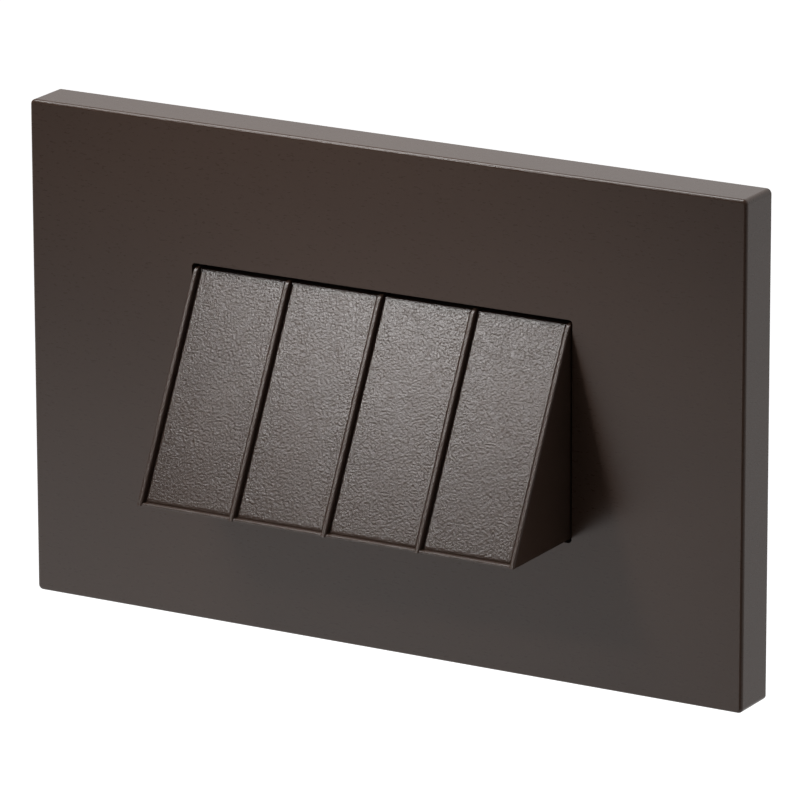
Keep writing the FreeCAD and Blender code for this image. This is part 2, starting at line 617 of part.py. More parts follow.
def led_chips():
    """Six white LEDs, each with a round phosphor well."""
    chips = []
    for i in range(LED_COUNT):
        x = (i - (LED_COUNT - 1) / 2) * led_pitch
        face_y = led_board_front_y - LED_T
        chip = slab(LED_W / 2, LED_H / 2, face_y, led_board_front_y, 0.3, x, led_board_z)
        chips.append(chip.cut(rod_y(x, led_board_z, 0.42 * LED_H, face_y - 1, face_y + 0.2)))
    return Part.makeCompound(chips)


def led_board_screws():
    length = LED_BOARD_T + PAD_T + led_thread()
    return Part.makeCompound([
        pan_screw(side * led_screw_x, led_board_z, led_board_front_y, 1, SCREW_SMALL_R,
                  SCREW_SMALL_HEAD_R, SCREW_SMALL_HEAD_H, length) for side in (-1, 1)])


def lead_grommet():
    """The rubber grommet that carries the LED leads through the spreader."""
    neck = rod_y(GROMMET_X, GROMMET_Z, GROMMET_NECK_R, spreader_front_y, spreader_back_y)
    rims = [rod_y(GROMMET_X, GROMMET_Z, GROMMET_RIM_R, spreader_front_y - GROMMET_RIM_T,
                  spreader_front_y),
            rod_y(GROMMET_X, GROMMET_Z, GROMMET_RIM_R, spreader_back_y,
                  spreader_back_y + GROMMET_RIM_T)]
    bore = rod_y(GROMMET_X, GROMMET_Z, GROMMET_BORE_R, spreader_front_y - 1 - GROMMET_RIM_T,
                 spreader_back_y + 1 + GROMMET_RIM_T)
    return join([neck] + rims).cut(bore)


def led_lead(side):
    """One LED lead: from the header, through the grommet, onto the LED board's solder pad."""
    header_y = driver_front_y - HEADER_TALL
    pad_y = led_board_front_y - LEAD_R
    pad_z = led_board_z - LED_BOARD_H / 2 + PAD_REACH
    shift = side * LEAD_SPREAD
    return lead([(HEADER_X + shift, header_y, HEADER_Z),
                 (HEADER_X + shift, header_y - HEADER_RUN, HEADER_Z),
                 (GROMMET_X + shift, spreader_back_y + GROMMET_RUN, GROMMET_Z),
                 (GROMMET_X + shift, pad_y, GROMMET_Z),
                 (GROMMET_X + shift, pad_y, pad_z)], LEAD_R, LEAD_BEND_R)


def ground_lug_y():
    return spreader_back_y + GROUND_LUG_T


def ground_screw():
    return pan_screw(GROUND_X, GROUND_Z, ground_lug_y(), -1, SCREW_BOARD_R, SCREW_BOARD_HEAD_R,
                     SCREW_BOARD_HEAD_H, ground_thread() + GROUND_LUG_T)


def ground_lead():
    """The green lead: a ring lug under the ground screw and a tail up to the driver board."""
    ring = rod_y(GROUND_X, GROUND_Z, GROUND_LUG_R, spreader_back_y, ground_lug_y())
    barrel_top_z = GROUND_Z - GROUND_LUG_R - PART_CLEAR
    tongue_z = barrel_top_z - LUG_BARREL_LEN
    tongue = box(GROUND_X - LUG_TONGUE_W / 2, GROUND_X + LUG_TONGUE_W / 2, spreader_back_y,
                 ground_lug_y(), tongue_z, GROUND_Z)
    wire_y = ground_lug_y() + LEAD_R
    barrel = rod_z(GROUND_X, wire_y, LUG_TONGUE_W / 2, tongue_z, barrel_top_z)
    barrel = barrel.common(box(GROUND_X - LUG_TONGUE_W, GROUND_X + LUG_TONGUE_W, spreader_back_y,
                               wire_y + LUG_TONGUE_W, tongue_z, barrel_top_z))
    up_z = tongue_z - GROUND_RUN
    wire = lead([(GROUND_X, wire_y, barrel_top_z), (GROUND_X, wire_y, up_z),
                 (GROUND_X, driver_front_y, up_z)], LEAD_R, LEAD_BEND_R)
    hole = rod_y(GROUND_X, GROUND_Z, SCREW_BOARD_R + THREAD_CLEAR, spreader_back_y - 1,
                 ground_lug_y() + 1)
    return join([ring, tongue, barrel, wire]).cut(hole)


# ---- driver housing and board -------------------------------------------------------------------

def housing_seal():
    ring = slab(spreader_x, spreader_z, spreader_back_y, housing_front_y, SPREADER_CORNER_R)
    ring = ring.cut(slab(spreader_x - HOUSING_WALL, spreader_z - HOUSING_WALL,
                         spreader_back_y - 1, housing_front_y + 1, SPREADER_CORNER_R))
    pads = []
    for x, z in corners(hood_screw_x, hood_screw_z):
        pads.append(rod_y(x, z, BOSS_R, spreader_back_y, housing_front_y))
    outline = slab(spreader_x, spreader_z, spreader_back_y, housing_front_y, SPREADER_CORNER_R)
    seal = join([ring] + pads).common(outline)
    for x, z in corners(hood_screw_x, hood_screw_z):
        seal = seal.cut(rod_y(x, z, SCREW_HOOD_R + SCREW_CLEAR, spreader_back_y - 1,
                              housing_front_y + 1))
    return seal


def standoff_places():
    return corners(driver_x - BOARD_SCREW_IN, driver_z - BOARD_SCREW_IN)


def driver_housing():
    """The potting box behind the wall line, with bosses, standoffs and a back for the terminals."""
    outer = slab(spreader_x, spreader_z, housing_front_y, housing_back_y, HOUSING_CORNER_R)
    shell = outer.cut(slab(spreader_x - HOUSING_WALL, spreader_z - HOUSING_WALL,
                           housing_front_y - 1, housing_floor_y, HOUSING_CORNER_R - 1.0))
    inside = [rod_y(x, z, BOSS_R, housing_front_y, housing_front_y + BOSS_LEN)
              for x, z in corners(hood_screw_x, hood_screw_z)]
    inside += [rod_y(x, z, STANDOFF_R, driver_back_y, housing_floor_y + HOUSING_WALL / 2)
               for x, z in standoff_places()]
    inside += [rod_y(side * ear_x, ear_z, STANDOFF_R, driver_back_y + 2 * PART_CLEAR,
                     housing_floor_y + HOUSING_WALL / 2) for side in (-1, 1)]
    shell = join([shell] + [piece.common(outer) for piece in inside])
    cuts = []
    for x, z in corners(hood_screw_x, hood_screw_z):
        cuts.append(rod_y(x, z, SCREW_HOOD_R + THREAD_CLEAR, housing_front_y - 1,
                          flange_front_y + SCREW_HOOD_LEN + 0.5))
    for x, z in standoff_places():
        cuts.append(rod_y(x, z, SCREW_BOARD_R + THREAD_CLEAR, driver_back_y - 1,
                          driver_back_y + board_thread() + 0.2))
    for side in (-1, 1):
        cuts.append(rod_y(side * ear_x, ear_z, SCREW_BOARD_R + THREAD_CLEAR,
                          housing_back_y - ear_thread() - 0.2, housing_back_y + 1))
    for x in pole_places():
        cuts.append(rod_y(x, contact_mid_z, CONTACT_PIN_R + 0.4, housing_floor_y - 1,
                          housing_back_y + 1))
    return shell.cut(cuts).removeSplitter()


def board_thread():
    return STANDOFF_H + HOUSING_WALL / 3


def ear_thread():
    """How deep a terminal screw goes into the housing's back."""
    return HOUSING_WALL + 0.6 * STANDOFF_H


def driver_board():
    board = slab(driver_x, driver_z, driver_front_y, driver_back_y, 1.0)
    cuts = [rod_y(x, z, SCREW_BOARD_R + SCREW_CLEAR, driver_front_y - 1, driver_back_y + 1)
            for x, z in standoff_places()]
    cuts += [rod_y(x, contact_mid_z, CONTACT_PIN_R + THREAD_CLEAR, driver_front_y - 1,
                   driver_back_y + 1) for x in pole_places()]
    return board.cut(cuts)


def driver_board_screws():
    return Part.makeCompound([
        pan_screw(x, z, driver_front_y, 1, SCREW_BOARD_R, SCREW_BOARD_HEAD_R, SCREW_BOARD_HEAD_H,
                  DRIVER_BOARD_T + board_thread()) for x, z in standoff_places()])


def on_board(x, z, half_x, half_z, tall, corner_r=0.0):
    """A part that stands on the driver board's front, towards the spreader."""
    return slab(half_x, half_z, driver_front_y - tall, driver_front_y, corner_r, x, z)


def can(x, z, r, tall):
    """A round can on the driver board, with a soft top edge."""
    shape = rod_y(x, z, r, driver_front_y - tall, driver_front_y)
    top = [e for e in shape.Edges if abs(e.CenterOfMass.y - driver_front_y + tall) < 1e-6]
    return shape.makeFillet(CAN_EDGE_R, top)


def transformer_core():
    """A ferrite core with three legs, standing on the driver board."""
    top = driver_front_y - CORE_TALL
    core = box(TRANSFORMER_X - CORE_W / 2, TRANSFORMER_X + CORE_W / 2, top, driver_front_y,
               TRANSFORMER_Z - CORE_T / 2, TRANSFORMER_Z + CORE_T / 2)
    window_w = CORE_W / 2 - CORE_LEG - CORE_MID_LEG / 2
    for side in (-1, 1):
        mid = TRANSFORMER_X + side * (CORE_MID_LEG + window_w) / 2
        core = core.cut(box(mid - window_w / 2, mid + window_w / 2, top + CORE_YOKE,
                            driver_front_y - CORE_YOKE, TRANSFORMER_Z - CORE_T,
                            TRANSFORMER_Z + CORE_T))
    return core


def transformer_winding():
    """The taped winding round the core's middle leg."""
    half_x = CORE_W / 2 - CORE_LEG - PART_CLEAR
    half_z = CORE_T / 2 + WINDING_PAST
    y0 = driver_front_y - CORE_TALL + CORE_YOKE + PART_CLEAR
    y1 = driver_front_y - CORE_YOKE - PART_CLEAR
    coil = slab(half_x, half_z, y0, y1, WINDING_EDGE_R, TRANSFORMER_X, TRANSFORMER_Z)
    leg_x, leg_z = CORE_MID_LEG / 2 + PART_CLEAR, CORE_T / 2 + PART_CLEAR
    return coil.cut(box(TRANSFORMER_X - leg_x, TRANSFORMER_X + leg_x, y0 - 1, y1 + 1,
                        TRANSFORMER_Z - leg_z, TRANSFORMER_Z + leg_z))


def choke():
    """A drum choke: two flanges with a wound waist."""
    y0 = driver_front_y - CHOKE_TALL
    return join([rod_y(CHOKE_X, CHOKE_Z, CHOKE_R, y0, y0 + CHOKE_RIM_T),
                 rod_y(CHOKE_X, CHOKE_Z, CHOKE_R - CHOKE_WAIST_IN, y0, driver_front_y),
                 rod_y(CHOKE_X, CHOKE_Z, CHOKE_R, driver_front_y - CHOKE_RIM_T, driver_front_y)])


def led_header():
    return on_board(HEADER_X, HEADER_Z, HEADER_HALF_W, HEADER_HALF_T, HEADER_TALL, HEADER_EDGE_R)


def varistor():
    """A disc varistor on edge, on its foot."""
    disc_y = driver_front_y - VARISTOR_FOOT_TALL - VARISTOR_R + 1.0
    disc = rod_x(disc_y, VARISTOR_Z, VARISTOR_R, VARISTOR_X - VARISTOR_HALF_T,
                 VARISTOR_X + VARISTOR_HALF_T)
    foot = on_board(VARISTOR_X, VARISTOR_Z, VARISTOR_HALF_T, VARISTOR_FOOT_HALF_W,
                    VARISTOR_FOOT_TALL)
    return join([disc, foot])


# ---- terminal block -----------------------------------------------------------------------------

def pole_places():
    return [(i - (POLE_COUNT - 1) / 2) * POLE_PITCH for i in range(POLE_COUNT)]


def terminal_block():
    """The supply terminals on the housing's back: a wire port and a lever slot for each pole."""
    block = box(-terminal_x, terminal_x, housing_back_y, terminal_back_y, port_face_z, TERMINAL_TOP_Z)
    ears = box(-terminal_x - EAR_W, terminal_x + EAR_W, housing_back_y, housing_back_y + EAR_T,
               ear_z - EAR_LEN / 2, ear_z + EAR_LEN / 2)
    block = join([block, ears])
    floor_y = lever_top_y - LEVER_T - HUB_CLEAR
    cuts = []
    for x in pole_places():
        cuts.append(rod_z(x, port_y, PORT_R, port_face_z - 1, port_end_z))
        cuts.append(box(x - CONTACT_W / 2 - PART_CLEAR, x + CONTACT_W / 2 + PART_CLEAR,
                        housing_back_y - 1, port_y + PORT_R,
                        port_end_z, contact_mid_z + CONTACT_LEN / 2 + PART_CLEAR))
        cuts.append(rod_x(pivot_y, pivot_z, HUB_R + HUB_CLEAR, x - slot_w / 2, x + slot_w / 2))
        cuts.append(box(x - slot_w / 2, x + slot_w / 2, floor_y, terminal_back_y + 1,
                        port_face_z - 1, pivot_z))
        cuts.append(box(x - slot_w / 2, x + slot_w / 2, pivot_y, terminal_back_y + 1,
                        pivot_z - 1, pivot_z + HUB_R + HUB_CLEAR))
    reach = terminal_x - pole_wall + PIVOT_LEN + PART_CLEAR
    cuts.append(rod_x(pivot_y, pivot_z, PIVOT_R + PIVOT_CLEAR, -reach, reach))
    for side in (-1, 1):
        cuts.append(rod_y(side * ear_x, ear_z, SCREW_BOARD_R + SCREW_CLEAR, housing_back_y - 1,
                          housing_back_y + EAR_T + 1))
    return block.cut(cuts).removeSplitter()


def terminal_lever(x):
    """A lever that lies in its slot when closed and swings away from the wall's side to open."""
    tip_z = port_face_z + LEVER_SHORT
    hub = rod_x(pivot_y, pivot_z, HUB_R, x - LEVER_W / 2, x + LEVER_W / 2)
    arm = box(x - LEVER_W / 2, x + LEVER_W / 2, lever_top_y - LEVER_T, lever_top_y, tip_z, pivot_z)
    tip = [e for e in arm.Edges if abs(e.CenterOfMass.z - tip_z) < 1e-6
           and abs(e.tangentAt(e.FirstParameter).x) > 0.99]
    arm = arm.makeFillet(0.35 * LEVER_T, tip)
    pins = rod_x(pivot_y, pivot_z, PIVOT_R, x - LEVER_W / 2 - LEVER_SIDE_GAP - PIVOT_LEN,
                 x + LEVER_W / 2 + LEVER_SIDE_GAP + PIVOT_LEN)
    grips = [rod_x(lever_top_y - 0.2, tip_z + 1.6 + i * 1.2, 0.35, x - LEVER_W / 2 + 0.5,
                   x + LEVER_W / 2 - 0.5) for i in range(3)]
    return join([hub, arm, pins] + grips)


def terminal_contacts():
    """Copper cages at the ends of the ports, with pins down to the driver board."""
    contacts = []
    for x in pole_places():
        y0, y1 = housing_back_y + 0.2, port_y + PORT_R - PART_CLEAR
        z0, z1 = contact_mid_z - CONTACT_LEN / 2, contact_mid_z + CONTACT_LEN / 2
        cage = box(x - CONTACT_W / 2, x + CONTACT_W / 2, y0, y1, z0, z1)
        cage = cage.cut(box(x - CONTACT_W / 2 + CONTACT_WALL, x + CONTACT_W / 2 - CONTACT_WALL,
                            y0 + CONTACT_WALL, y1 - CONTACT_WALL, z0 - 1, z1 + 1))
        pin = rod_y(x, contact_mid_z, CONTACT_PIN_R, driver_front_y - CONTACT_PIN_PAST, y0 + 0.2)
        contacts.append(join([cage, pin]))
    return Part.makeCompound(contacts)


def terminal_screws():
    return Part.makeCompound([
        pan_screw(side * ear_x, ear_z, housing_back_y + EAR_T, -1, SCREW_BOARD_R,
                  SCREW_BOARD_HEAD_R, SCREW_BOARD_HEAD_H, EAR_T + ear_thread())
        for side in (-1, 1)])


# ---- all the pieces -----------------------------------------------------------------------------

def pieces():
    made = {
        "cover_plate": cover_plate(),
        "latch_springs": latch_springs(),
        "latch_rivets": latch_rivets(),
        "hood": hood(),
        "lens": lens(),
        "lens_gasket": lens_gasket(),
        "reflector": reflector(),
        "hood_gasket": hood_gasket(),
        "hood_screws": hood_screws(),
        "mounting_frame": mounting_frame(),
        "wall_gasket": wall_gasket(),
        "box_screw_left": box_screw(-1),
        "box_screw_right": box_screw(1),
        "screw_washer_left": screw_washer(-1),
        "screw_washer_right": screw_washer(1),
        "heat_spreader": heat_spreader(),
        "thermal_pad": thermal_pad(),
        "led_board": led_board(),
        "led_chips": led_chips(),
        "led_board_screws": led_board_screws(),
        "lead_grommet": lead_grommet(),
        "led_lead_red": led_lead(-1),
        "led_lead_black": led_lead(1),
        "ground_screw": ground_screw(),
        "ground_lead": ground_lead(),
        "housing_seal": housing_seal(),
        "driver_housing": driver_housing(),
        "driver_board": driver_board(),
        "driver_board_screws": driver_board_screws(),
        "transformer_core": transformer_core(),
        "transformer_winding": transformer_winding(),
        "bulk_capacitor": can(BULK_CAN_X, BULK_CAN_Z, BULK_CAN_R, BULK_CAN_TALL),
        "film_capacitor": on_board(FILM_X, FILM_Z, FILM_HALF_W, FILM_HALF_T, FILM_TALL, FILM_EDGE_R),
        "fuse": can(FUSE_X, FUSE_Z, FUSE_R, FUSE_TALL),
        "varistor": varistor(),
        "bridge_rectifier": on_board(BRIDGE_X, BRIDGE_Z, BRIDGE_HALF_W, BRIDGE_HALF_T, BRIDGE_TALL,
                                     CHIP_EDGE_R),
        "choke": choke(),
        "control_chip": on_board(CHIP_X, CHIP_Z, CHIP_HALF_W, CHIP_HALF_T, CHIP_TALL, CHIP_EDGE_R),
        "output_capacitor": can(OUTPUT_CAN_X, OUTPUT_CAN_Z, OUTPUT_CAN_R, OUTPUT_CAN_TALL),
        "led_header": led_header(),
        "terminal_block": terminal_block(),
        "terminal_contacts": terminal_contacts(),
        "terminal_screws": terminal_screws(),
    }
    for number, x in enumerate(pole_places(), 1):
        made[f"terminal_lever_{number}"] = terminal_lever(x)
    return made


os.makedirs("parts", exist_ok=True)
for node, shape in pieces().items():
    shape.exportStep(f"parts/{node}.step")
    print(f"{node:22s} solids {len(shape.Solids)}  volume {shape.Volume:10.2f}  valid {shape.isValid()}")
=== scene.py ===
"""Hooded step light: the finishes and fine shapes of its pieces, and the studio it is shown in.

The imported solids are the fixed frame. X runs to the right along the wall, Y into it and Z up,
in metres; the wall's surface is the plane Y = 0. The sizes of patterns in the finishes are in
millimetres.
"""
import math

import bmesh
import bpy
from bpy.props import FloatProperty, FloatVectorProperty, IntProperty, PointerProperty
from mathutils import Matrix, Vector, noise


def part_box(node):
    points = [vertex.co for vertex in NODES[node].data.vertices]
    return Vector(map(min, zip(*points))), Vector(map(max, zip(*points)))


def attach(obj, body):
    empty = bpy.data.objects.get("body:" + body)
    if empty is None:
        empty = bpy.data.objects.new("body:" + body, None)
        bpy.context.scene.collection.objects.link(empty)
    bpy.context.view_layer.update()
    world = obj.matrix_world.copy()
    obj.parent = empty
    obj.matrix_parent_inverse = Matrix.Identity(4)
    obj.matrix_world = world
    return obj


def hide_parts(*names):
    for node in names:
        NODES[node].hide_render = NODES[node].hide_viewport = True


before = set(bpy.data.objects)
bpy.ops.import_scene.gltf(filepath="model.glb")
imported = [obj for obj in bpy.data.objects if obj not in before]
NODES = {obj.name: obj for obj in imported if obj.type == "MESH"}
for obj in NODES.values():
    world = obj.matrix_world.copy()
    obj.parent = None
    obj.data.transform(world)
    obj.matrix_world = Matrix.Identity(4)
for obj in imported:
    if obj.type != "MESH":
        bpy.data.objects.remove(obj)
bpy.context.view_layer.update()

bl_info = {
    "name": "Hooded step light",
    "version": (1, 0, 0),
    "blender": (4, 5, 0),
    "location": "View3D > Sidebar > Step light",
    "description": "Finishes the pieces of a hooded step light and sets up its studio",
    "category": "Object",
}

MM = 0.001

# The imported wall-box screws' boxes, which their new shanks are built from
SCREW_BOX = {side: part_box(f"box_screw_{side}") for side in ("left", "right")}

# Tolerances: points in one place, points on a cutting plane, and points on a screw's end
SAME_PLACE, ON_PLANE, AT_END = 0.001 * MM, 0.0001 * MM, 0.01 * MM

# The panels' wrinkles: noise that slower noise bends, with finer noise added to it
BEND_REACH = 0.45                       # how far the slow noise bends them, in wrinkle sizes
BEND_RATE, FINE_RATE = 0.7, 2.1         # rates of the slow and the fine noise beside the main one
FINE_SHIFT = Vector((3.7, 1.1, 8.2))    # sets the fine noise apart from the main one
MAIN_SHARE, FINE_SHARE = 0.8, 0.25
RIM_SKINS = 2                           # how deep a panel's rim goes behind its face, in skins
FACING = 0.1                            # a face that looks out of the panel at least this much is smooth

# The wall-box screws' shanks
NECK_CUT = 0.05 * MM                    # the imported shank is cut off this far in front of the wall
CORE_SINK = 0.2 * MM                    # the new core starts this far in front of the wall, in the neck
CORE_SIDES = 32
END_CHAMFER = 0.35 * MM
THREAD_SINK = 0.08 * MM                 # how far the thread's root lies inside the core
ROOT_HALF, CREST_HALF = 0.44, 0.07      # half widths of the thread's root and crest, in pitches
PLAIN_END = 0.6 * MM                    # least length of plain core past the thread

# The camera, at the photograph's viewing angle
CAMERA_PLACE = Vector((0.55379, -0.96050, 0.32330))
CAMERA_RIGHT = Vector((0.86623, 0.49963, -0.00253))
CAMERA_UP = Vector((-0.13850, 0.24500, 0.95958))
CAMERA_SHIFT = (0.000375, 0.000875)
CAMERA_CLIP = (0.05, 20.0)
SENSOR_WIDTH = 36.0                     # in millimetres

# The lamps' sizes and places
KEY_SIZE, KEY_PLACE = (0.3, 0.35), (-0.24, -0.10, 0.58)
LOW_SIZE, LOW_PLACE = (0.4, 0.2), (-0.26, -0.29, -0.20)
SPOT_CONE, SPOT_BLEND, SPOT_SIZE = math.radians(16.6), 1.0, 0.035
SPOT_AIM = Vector((-0.002, -0.012, 0.027))
SPOT_BACK = Vector((-0.47, -0.69, 0.56)).normalized()
SPOT_REACH = 0.4

# The floor and the room
FLOOR_HALF = (3.0, 2.0)                 # half the floor's width and depth
FLOOR_SEEN, FLOOR_MIRRORED = 0.8, 0.5   # the floor's glow to the camera, and in glossy or clear things
ROOM_BACK = (0.5, 1.0, 0.0)             # the side where the room is white
ROOM_FADE = (0.2, 0.6)                  # where its dim front turns into that white


# ---- settings -----------------------------------------------------------------------------------

def colour_prop(name, text, default):
    return FloatVectorProperty(name=name, description=text, default=default, size=3, min=0.0, max=1.0,
                               subtype="COLOR")


def length_prop(name, text, default_mm):
    return FloatProperty(name=name, description=text, default=default_mm * MM, min=0.0, precision=5,
                         unit="LENGTH")


class StepLightPlate(bpy.types.PropertyGroup):
    dark: colour_prop("Dark bronze", "Darkest tone of the plate's coat", (0.047, 0.0262, 0.0178))
    light: colour_prop("Light bronze", "Lightest tone of the plate's coat", (0.054, 0.0305, 0.0206))
    grain_length: length_prop("Grain length", "Length of the satin grain along the plate", 0.9)
    grain_width: length_prop("Grain width", "Width of the satin grain across the plate", 0.30)
    grain_depth: length_prop("Grain depth", "Depth of the satin grain", 0.002)


class StepLightHood(bpy.types.PropertyGroup):
    dark: colour_prop("Dark bronze", "Darkest tone of the hood's powder coat", (0.037, 0.0208, 0.0139))
    # The light tone lands on the peel's crests as a painted highlight
    light: colour_prop("Light bronze", "Lightest tone of the hood's powder coat", (0.050, 0.0285, 0.0193))
    lean: FloatProperty(name="Lean", description="Slope of the panels from vertical",
                        default=math.radians(27.3), subtype="ANGLE")
    height: length_prop("Height", "From the bottom edge to the tops of the ribs", 33.45)
    width: length_prop("Width", "Over the outer ribs", 65.5)
    ribs: IntProperty(name="Ribs", description="Number of ribs, one more than the panels", default=5)
    rib_width: length_prop("Rib width", "Width of a rib", 0.79)
    rib_proud: length_prop("Rib height", "Height of the ribs above the cast panels", 0.90)
    top_step: length_prop("Rib top step", "Height of the ribs above the hood's top", 0.42)
    lip: length_prop("Lip", "Height of the lip under the panels", 0.35)
    skin: length_prop("Skin", "Mean height of the textured face above the cast panel", 0.20)
    groove: length_prop("Groove", "Gap between a rib and the textured face on its right", 0.33)
    seam: length_prop("Seam", "Gap between a rib and the textured face on its left", 0.27)
    side_round: length_prop("Side round", "Radius of the round along the sides of a panel", 0.12)
    foot_round: length_prop("Foot round", "Length of the round along the foot of a panel", 0.70)
    wrinkle: length_prop("Wrinkle depth", "Height of the wrinkles from mean to crest", 0.040)
    wrinkle_size: length_prop("Wrinkle size", "Distance from one wrinkle to the next", 0.22)
    cell: length_prop("Mesh cell", "Spacing of the wrinkled mesh", 0.088)


class StepLightScrews(bpy.types.PropertyGroup):
    major: length_prop("Major radius", "Radius over the thread's crests", 1.75)
    minor: length_prop("Minor radius", "Radius at the thread's roots", 1.37)
    pitch: length_prop("Pitch", "Distance from one turn of the thread to the next", 0.794)
    steps: IntProperty(name="Steps", description="Mesh steps in one turn of the thread", default=24)


class StepLightStage(bpy.types.PropertyGroup):
    floor_drop: length_prop("Floor drop", "Floor below the middle of the light", 260.0)
    floor_front: length_prop("Floor front", "How far the floor reaches in front of the wall", 350.0)
    floor: colour_prop("Floor", "Colour of the floor", (0.60, 0.60, 0.60))
    front: FloatProperty(name="Room front", description="Strength of the room's dim front", default=0.11)
    behind: FloatProperty(name="Room back", description="Strength of the room's white back", default=0.92)
    key: FloatProperty(name="Key", description="Power of the large soft lamp", default=4.55, subtype="POWER")
    low: FloatProperty(name="Low", description="Power of the dim card below on the left", default=0.49,
                       subtype="POWER")
    spot: FloatProperty(name="Spot", description="Power of the narrow lamp on the hood", default=3.2,
                        subtype="POWER")
    lens: FloatProperty(name="Camera lens", description="Focal length in millimetres", default=342.0)


SETTINGS = {"step_light_plate": StepLightPlate, "step_light_hood": StepLightHood,
            "step_light_screws": StepLightScrews, "step_light_stage": StepLightStage}


# ---- finishes -----------------------------------------------------------------------------------

class Finish:
    """A material whose patterns follow object coordinates, so that they stay with the piece."""

    def __init__(self, name, **sockets):
        self.material = bpy.data.materials.new(name)
        self.material.use_nodes = True
        self.tree = self.material.node_tree
        self.tree.nodes.clear()
        self.shader = self.node("ShaderNodeBsdfPrincipled", **sockets)
        self.out = self.node("ShaderNodeOutputMaterial")
        self.join(self.shader.outputs["BSDF"], self.out.inputs["Surface"])
        self.place = self.node("ShaderNodeTexCoord").outputs["Object"]

    def node(self, kind, **values):
        """A new node. Values go to the inputs of their names, with _ for a space, or else to attributes."""
        made = self.tree.nodes.new(kind)
        for key, value in values.items():
            label = key.replace("_", " ")
            found = [s for s in made.inputs if s.name == label or s.identifier == key]
            if found:
                found[0].default_value = value
            else:
                setattr(made, key, value)
        return made

    def join(self, source, target):
        self.tree.links.new(source, target)

    def stretched(self, size):
        """Object coordinates divided by a pattern's size along each axis, in millimetres."""
        mapping = self.node("ShaderNodeMapping")
        mapping.inputs["Scale"].default_value = [1 / (s * MM) for s in size]
        self.join(self.place, mapping.inputs["Vector"])
        return mapping.outputs["Vector"]

    def clouds(self, size, detail=2.0, rough=0.5, warp=0.0):
        """Noise with features of a size in millimetres: one number, or one for each axis."""
        size = (size,) * 3 if isinstance(size, (int, float)) else size
        made = self.node("ShaderNodeTexNoise", Scale=1.0, Detail=detail, Roughness=rough, Distortion=warp)
        self.join(self.stretched(size), made.inputs["Vector"])
        return made.outputs["Fac"]

    def cells(self, size):
        """Round cells of a size in millimetres: the distance from the middle of each."""
        made = self.node("ShaderNodeTexVoronoi", Scale=1.0)
        self.join(self.stretched((size,) * 3), made.inputs["Vector"])
        return made.outputs["Distance"]

    def ramp(self, pattern, *stops):
        """Colours along a pattern: each stop is a place and a colour."""
        made = self.node("ShaderNodeValToRGB")
        points = made.color_ramp.elements
        while len(points) < len(stops):
            points.new(0.5)
        for point, (place, colour) in zip(points, stops):
            point.position = place
            point.color = (*colour[:3], 1.0)
        self.join(pattern, made.inputs["Fac"])
        return made.outputs["Color"]

    def span(self, pattern, low, high, start=0.3, end=0.7):
        """A pattern's values from start to end, spread from low to high."""
        made = self.node("ShaderNodeMapRange")
        for key, value in (("From Min", start), ("From Max", end), ("To Min", low), ("To Max", high)):
            made.inputs[key].default_value = value
        self.join(pattern, made.inputs["Value"])
        return made.outputs["Result"]

    def combine(self, first, second, operation="ADD"):
        """One sum or other operation on two patterns or numbers."""
        made = self.node("ShaderNodeMath", operation=operation)
        for socket, value in zip(made.inputs, (first, second)):
            if isinstance(value, (int, float)):
                socket.default_value = value
            else:
                self.join(value, socket)
        return made.outputs["Value"]

    def mixed(self, first, share, second):
        """Two patterns added up: the first with its share, and the second with the rest."""
        return self.combine(self.combine(first, share, "MULTIPLY"),
                            self.combine(second, 1.0 - share, "MULTIPLY"))

    def colour(self, pattern, *stops):
        """Colours the surface along a pattern."""
        self.join(self.ramp(pattern, *stops), self.shader.inputs["Base Color"])

    def gloss(self, pattern, low, high):
        """Varies the roughness from low to high along a pattern."""
        self.join(self.span(pattern, low, high), self.shader.inputs["Roughness"])

    def relief(self, pattern, depth_mm):
        """A bump of a depth in millimetres."""
        made = self.node("ShaderNodeBump", Strength=1.0, Distance=depth_mm * MM)
        self.join(pattern, made.inputs["Height"])
        self.join(made.outputs["Normal"], self.shader.inputs["Normal"])


def satin_bronze(style):
    """The plate's satin coat: a fine grain, longer along X, over a slow change of tone."""
    made = Finish("satin_bronze", Metallic=0.0, IOR=1.38)
    along, across = style.grain_length / MM, style.grain_width / MM
    grain = made.clouds((along, across, across), detail=3.0)
    drift = made.clouds((60.0, 22.0, 22.0), detail=1.0)
    made.colour(made.mixed(grain, 0.5, drift), (0.35, style.dark), (0.65, style.light))
    made.gloss(grain, 0.27, 0.30)
    made.relief(grain, style.grain_depth / MM)
    return made.material


def powder_bronze(style, name, rough, bump):
    """The hood's powder coat: an orange-peel bump, with its crests painted lighter as a painted highlight.
    """
    made = Finish(name, Metallic=0.0, IOR=1.50)
    size = style.wrinkle_size / MM
    peel = made.clouds(size, detail=2.0, rough=0.55, warp=0.4)
    drift = made.clouds(9.0, detail=1.0)
    # The peel's crests are painted lighter (a painted highlight on the wrinkles), over a slow change of tone
    made.colour(made.mixed(peel, 0.7, drift), (0.35, style.dark), (0.65, style.light))
    made.gloss(peel, *rough)
    made.relief(peel, bump)
    return made.material


def brushed_metal(name, dark, light, along=(6.0, 0.12, 0.12), rough=(0.26, 0.38), depth=0.003, spangle=0.0):
    """Metal with fine drawing lines along one axis, and zinc spangle where it has any."""
    made = Finish(name, Metallic=1.0, IOR=1.5)
    lines = made.clouds(along, detail=3.0)
    patches = made.cells(spangle) if spangle else made.clouds(14.0)
    made.colour(made.mixed(lines, 0.5, patches), (0.25, dark), (0.75, light))
    made.gloss(lines, *rough)
    made.relief(lines, depth)
    return made.material


def moulded(name, dark, light, rough=(0.42, 0.55), grain=0.25, depth=0.01, drift=12.0):
    """Moulded plastic or rubber: a fine spark-eroded grain and a slow change of tone."""
    made = Finish(name, IOR=1.48)
    fine = made.clouds(grain, detail=2.0, rough=0.6)
    slow = made.clouds(drift, detail=2.0)
    made.colour(made.mixed(fine, 0.35, slow), (0.35, dark), (0.65, light))
    made.gloss(fine, *rough)
    made.relief(fine, depth)
    return made.material


